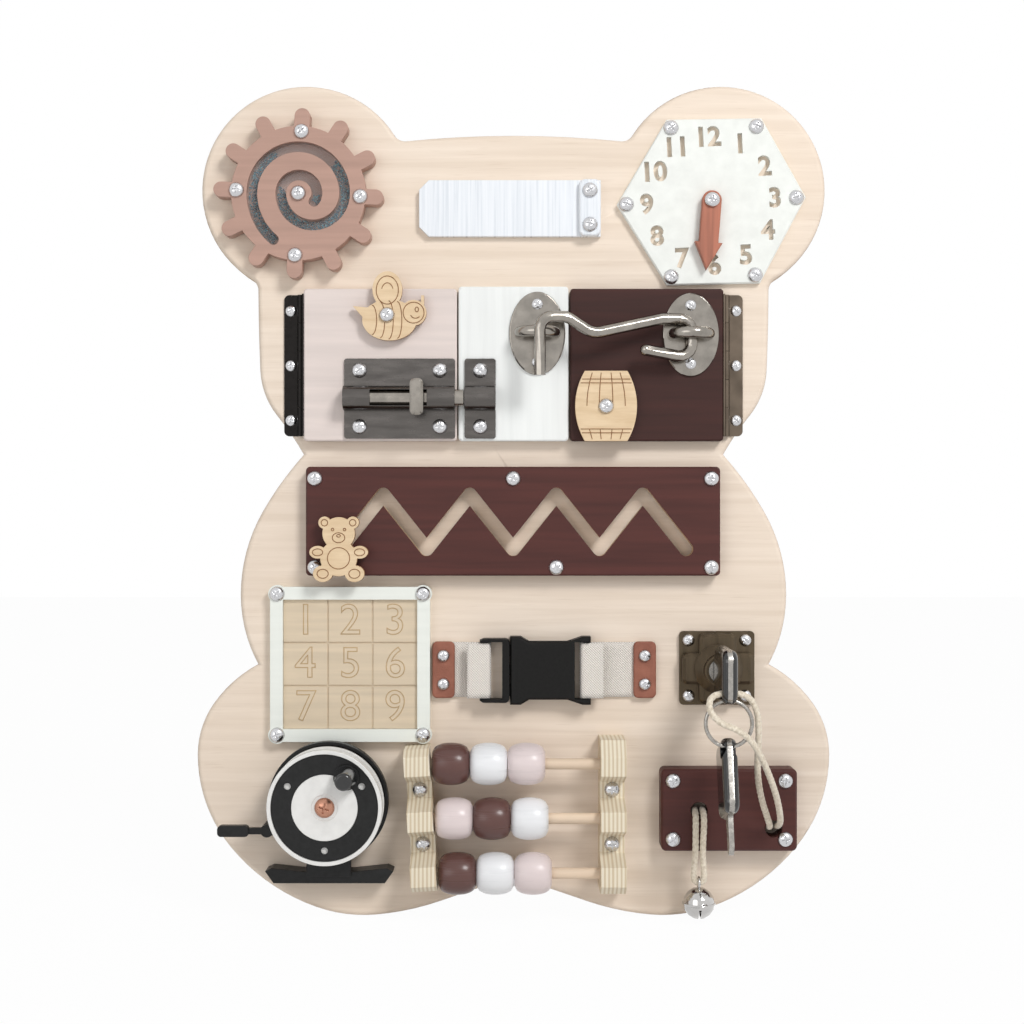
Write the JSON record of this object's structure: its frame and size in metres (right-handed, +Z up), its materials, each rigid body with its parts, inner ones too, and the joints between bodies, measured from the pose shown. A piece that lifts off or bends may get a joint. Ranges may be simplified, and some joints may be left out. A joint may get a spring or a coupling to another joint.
{
  "type": "busy board",
  "caption": "Bear-shaped plywood busy board with doors, latches, clock, gear, maze slider, buckle strap, lock with keys, reel, bead frame and bell.",
  "frame": {"origin": "centre of the board outline, in the plane of its flat back", "axes": "+Z up to the ears, +X to the right seen from the front, the face looks along -Y, +Y is the back face normal"},
  "size_m": [0.3008, 0.0702, 0.3944],
  "materials": {
    "birch_board": "sanded birch plywood, clear oil",
    "screw_steel": "zinc plated steel",
    "white_acrylic": "white acrylic sheet",
    "pink_door": "thin pink stain on plywood",
    "maroon_wood": "maroon stain on plywood",
    "white_panel": "white painted plywood",
    "black_metal": "black hinge steel",
    "gunmetal": "dark gunmetal plating",
    "nickel": "polished nickel",
    "rose_gear": "dusty rose stain",
    "clear_window": "clear acrylic",
    "red_hand": "red brown stain",
    "raw_ply": "raw laser cut plywood",
    "number_ply": "engraved plywood",
    "white_frame": "white paint",
    "leather_tab": "brown leather",
    "cream_strap": "woven cotton webbing",
    "black_plastic": "moulded acetal",
    "dark_bronze": "dark bronze plating",
    "key_steel": "nickel plated",
    "key_black": "black key head",
    "cotton_cord": "braided cotton",
    "white_plastic": "white reel plastic",
    "bead_maroon": "maroon lacquer",
    "bead_white": "white lacquer",
    "bead_pink": "pale pink lacquer"
  },
  "bodies": {
    "board": {"board": "birch_board", "board_screws": "screw_steel", "clock_face": "white_acrylic", "mirror_plate": "white_acrylic", "mirror_clamp": "white_acrylic", "middle_panel": "white_panel", "board_hinges": "black_metal", "bolt_keeper": "gunmetal", "panel_eye_plate": "nickel", "maze_plate": "maroon_wood", "number_panel": "number_ply", "number_frame": "white_frame", "strap_tabs": "leather_tab", "left_strap": "cream_strap", "right_strap": "cream_strap", "lock_body": "dark_bronze", "bell_plate": "maroon_wood", "key_tether": "cotton_cord", "reel_frame": "black_plastic", "bead_posts": "raw_ply", "bead_rods": "raw_ply"},
    "gear": {"gear_back": "rose_gear", "gear_front": "rose_gear", "gear_window": "clear_window", "gear_screws": "screw_steel"},
    "clock_hand": {"clock_hand": "red_hand"},
    "left_door": {"left_door": "pink_door", "left_door_leaf": "black_metal", "bolt_housing": "gunmetal", "left_door_screws": "screw_steel"},
    "bee": {"bee_tag": "raw_ply"},
    "bolt": {"bolt_rod": "gunmetal"},
    "right_door": {"right_door": "maroon_wood", "right_door_leaf": "black_metal", "door_eye_plate": "nickel", "right_door_screws": "screw_steel"},
    "barrel": {"barrel_tag": "raw_ply"},
    "hook": {"hook": "nickel"},
    "bear": {"bear_slider": "raw_ply"},
    "male_buckle": {"buckle_male": "black_plastic"},
    "female_buckle": {"buckle_female": "black_plastic"},
    "lock_plug": {"lock_plug": "key_steel"},
    "key_one": {"key_one": "key_black"},
    "key_ring": {"key_ring": "key_steel"},
    "key_two": {"key_two": "key_black"},
    "bell": {"bell_cord": "cotton_cord", "bell": "nickel"},
    "spool": {"reel_spool": "white_plastic", "reel_crank_ring": "black_plastic"},
    "knob": {"reel_knob": "black_plastic"},
    "lever": {"reel_lever": "black_plastic"},
    "bead_11": {"bead_11": "bead_maroon"},
    "bead_12": {"bead_12": "bead_white"},
    "bead_13": {"bead_13": "bead_pink"},
    "bead_21": {"bead_21": "bead_pink"},
    "bead_22": {"bead_22": "bead_maroon"},
    "bead_23": {"bead_23": "bead_white"},
    "bead_31": {"bead_31": "bead_maroon"},
    "bead_32": {"bead_32": "bead_white"},
    "bead_33": {"bead_33": "bead_pink"}
  },
  "joints": [
    {"name": "gear_spin", "type": "hinge", "parent": "board", "child": "gear", "pos_m": [-0.1012, -0.012, 0.1444], "axis": [0, -1, 0], "continuous": true},
    {"name": "hand_turn", "type": "hinge", "parent": "board", "child": "clock_hand", "pos_m": [0.0935, -0.012, 0.1414], "axis": [0, -1, 0], "continuous": true},
    {"name": "left_door_hinge", "type": "hinge", "parent": "board", "child": "left_door", "pos_m": [-0.1008, -0.01375, 0.0639], "axis": [0, 0, -1], "range_deg": [0, 95]},
    {"name": "right_door_hinge", "type": "hinge", "parent": "board", "child": "right_door", "pos_m": [0.1008, -0.01375, 0.0639], "axis": [0, 0, 1], "range_deg": [0, 95]},
    {"name": "bee_turn", "type": "hinge", "parent": "left_door", "child": "bee", "pos_m": [-0.0593, -0.0201, 0.0869], "axis": [0, -1, 0], "continuous": true},
    {"name": "bolt_slide", "type": "slide", "parent": "left_door", "child": "bolt", "axis": [1, 0, 0], "range_m": [-0.017, 0.001]},
    {"name": "barrel_turn", "type": "hinge", "parent": "right_door", "child": "barrel", "pos_m": [0.0434, -0.0201, 0.0442], "axis": [0, -1, 0], "continuous": true},
    {"name": "hook_swing", "type": "hinge", "parent": "right_door", "child": "hook", "pos_m": [0.0834, -0.0251, 0.078], "axis": [0, 0, 1], "range_deg": [0, 80]},
    {"name": "bear_slide", "type": "slide", "parent": "board", "child": "bear", "axis": [0.6223, 0, 0.7828], "range_m": [0, 0.0327]},
    {"name": "buckle_left_slide", "type": "slide", "parent": "board", "child": "male_buckle", "axis": [-1, 0, 0], "range_m": [0, 0.009], "deforming": ["left_strap"]},
    {"name": "buckle_right_slide", "type": "slide", "parent": "board", "child": "female_buckle", "axis": [1, 0, 0], "range_m": [0, 0.018], "deforming": ["right_strap"]},
    {"name": "plug_turn", "type": "hinge", "parent": "board", "child": "lock_plug", "pos_m": [0.0964, -0.012, -0.0794], "axis": [0, -1, 0], "range_deg": [0, 90], "deforming": ["key_tether"]},
    {"name": "key_pull", "type": "slide", "parent": "lock_plug", "child": "key_one", "axis": [0, -1, 0], "range_m": [0, 0.02], "deforming": ["key_tether"]},
    {"name": "ring_swing", "type": "hinge", "parent": "key_one", "child": "key_ring", "pos_m": [0.0964, -0.0583, -0.0879], "axis": [1, 0, 0], "range_deg": [-25, 25], "deforming": ["key_tether"]},
    {"name": "key_two_swing", "type": "hinge", "parent": "key_ring", "child": "key_two", "pos_m": [0.0964, -0.0583, -0.1125], "axis": [1, 0, 0], "range_deg": [-15, 15]},
    {"name": "bell_swing", "type": "hinge", "parent": "board", "child": "bell", "pos_m": [0.087, -0.023, -0.1454], "axis": [0, -1, 0], "range_deg": [-22, 22]},
    {"name": "spool_spin", "type": "hinge", "parent": "board", "child": "spool", "pos_m": [-0.0864, -0.012, -0.1407], "axis": [0, -1, 0], "continuous": true},
    {"name": "knob_spin", "type": "hinge", "parent": "spool", "child": "knob", "pos_m": [-0.0762, -0.044, -0.1264], "axis": [0, -1, 0], "continuous": true},
    {"name": "lever_turn", "type": "hinge", "parent": "board", "child": "lever", "pos_m": [-0.115, -0.012, -0.1542], "axis": [0, -1, 0], "range_deg": [-8, 8]},
    {"name": "bead_11_slide", "type": "slide", "parent": "board", "child": "bead_11", "axis": [1, 0, 0], "range_m": [0, 0.0083]},
    {"name": "bead_12_slide", "type": "slide", "parent": "bead_11", "child": "bead_12", "axis": [1, 0, 0], "range_m": [0, 0.0083]},
    {"name": "bead_13_slide", "type": "slide", "parent": "bead_12", "child": "bead_13", "axis": [1, 0, 0], "range_m": [0, 0.0083]},
    {"name": "bead_21_slide", "type": "slide", "parent": "board", "child": "bead_21", "axis": [1, 0, 0], "range_m": [0, 0.0078]},
    {"name": "bead_22_slide", "type": "slide", "parent": "bead_21", "child": "bead_22", "axis": [1, 0, 0], "range_m": [0, 0.0078]},
    {"name": "bead_23_slide", "type": "slide", "parent": "bead_22", "child": "bead_23", "axis": [1, 0, 0], "range_m": [0, 0.0078]},
    {"name": "bead_31_slide", "type": "slide", "parent": "board", "child": "bead_31", "axis": [1, 0, 0], "range_m": [0, 0.0073]},
    {"name": "bead_32_slide", "type": "slide", "parent": "bead_31", "child": "bead_32", "axis": [1, 0, 0], "range_m": [0, 0.0073]},
    {"name": "bead_33_slide", "type": "slide", "parent": "bead_32", "child": "bead_33", "axis": [1, 0, 0], "range_m": [0, 0.0073]}
  ]
}
